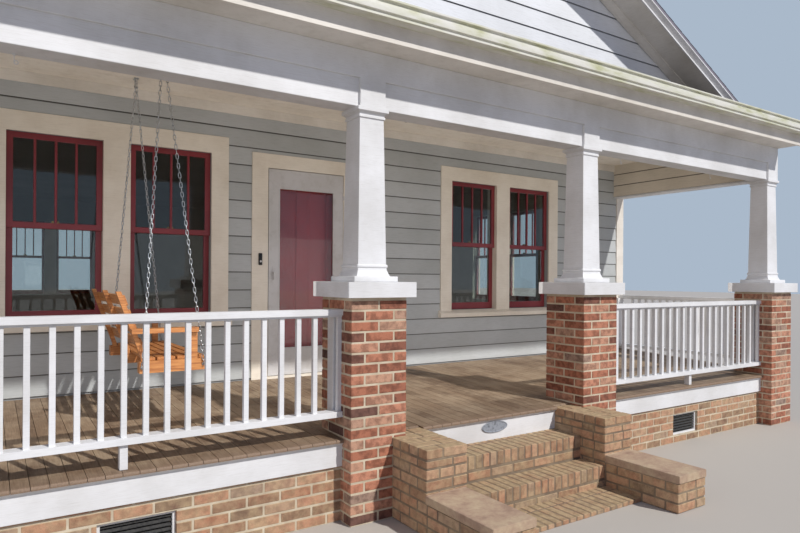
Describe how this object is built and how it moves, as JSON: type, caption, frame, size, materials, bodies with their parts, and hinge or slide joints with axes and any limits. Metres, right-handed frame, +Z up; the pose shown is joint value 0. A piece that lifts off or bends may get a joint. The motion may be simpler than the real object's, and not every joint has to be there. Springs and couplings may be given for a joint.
{
  "type": "bungalow",
  "caption": "Wooden bungalow with a full-width front porch on brick piers with tapered columns, a front gable, brick steps, hinged doors and a hanging porch swing",
  "frame": {"origin": "middle of the outline on the ground", "axes": "+Z up; the front with the porch and steps faces -Y; +X is to the right for a viewer who faces the front"},
  "size_m": [8.618, 12.496, 6.1274],
  "materials": {
    "brick": "fired clay brick with grey mortar",
    "white_paint": "white painted boards",
    "cream_paint": "cream painted boards",
    "siding_paint": "sage grey painted lap boards",
    "sash_paint": "dark red gloss paint",
    "door_paint": "deep red gloss paint",
    "storm_door_paint": "cream enamel",
    "window_glass": "clear",
    "floor_paint": "worn brown floor paint",
    "floor_wood": "waxed boards",
    "plaster": "painted plaster",
    "shingles": "granular roof shingles",
    "gutter_paint": "cream enamel with weather stains",
    "vent_metal": "dark grille",
    "plaque_metal": "painted oval plate",
    "dark_metal": "black",
    "dark_plastic": "black",
    "knob_brass": "worn",
    "zinc": "zinc plated",
    "swing_wood": "oiled orange-brown wood"
  },
  "bodies": {
    "house": {"house_foundation": "brick", "porch_foundation": "brick", "vent_grilles": "vent_metal", "brick_piers": "brick", "pier_caps": "white_paint", "porch_columns": "white_paint", "brick_steps": "brick", "step_cheeks": "brick", "oval_plaque": "plaque_metal", "porch_floor": "floor_paint", "porch_apron": "white_paint", "porch_railings": "white_paint", "front_wall_left": "siding_paint", "front_wall_right": "siding_paint", "front_wall_over_door": "siding_paint", "left_wall": "siding_paint", "right_wall": "siding_paint", "rear_wall": "siding_paint", "house_floor": "floor_wood", "house_ceiling": "plaster", "wall_trim": "cream_paint", "window_casings": "cream_paint", "window_sashes": "sash_paint", "window_glass": "window_glass", "door_frame": "cream_paint", "doorbell": "dark_plastic", "porch_beam": "white_paint", "porch_frieze": "white_paint", "porch_ceiling": "cream_paint", "gable_walls": "siding_paint", "eave_boxes": "white_paint", "gutters": "gutter_paint", "main_roof": "shingles", "front_gable_roof": "shingles", "rake_boards": "white_paint", "ceiling_hooks": "zinc"},
    "storm_door": {"storm_door": "storm_door_paint", "storm_door_glass": "window_glass", "storm_door_handle": "dark_metal"},
    "entry_door": {"entry_door": "door_paint", "entry_door_knob": "knob_brass"},
    "porch_swing": {"swing_chains": "zinc", "swing_frame": "swing_wood", "swing_seat": "swing_wood", "swing_back": "swing_wood"}
  },
  "joints": [
    {"name": "storm_door_hinge", "type": "hinge", "parent": "house", "child": "storm_door", "pos_m": [-0.208, -3.139, 1.6055], "axis": [0, 0, 1], "range_deg": [0, 100]},
    {"name": "entry_door_hinge", "type": "hinge", "parent": "house", "child": "entry_door", "pos_m": [-0.208, -2.953, 1.6055], "axis": [0, 0, -1], "range_deg": [0, 95]},
    {"name": "swing_hang", "type": "hinge", "parent": "house", "child": "porch_swing", "pos_m": [-2.2, -3.875, 3.049], "axis": [0, -1, 0], "range_deg": [-15, 15]}
  ]
}
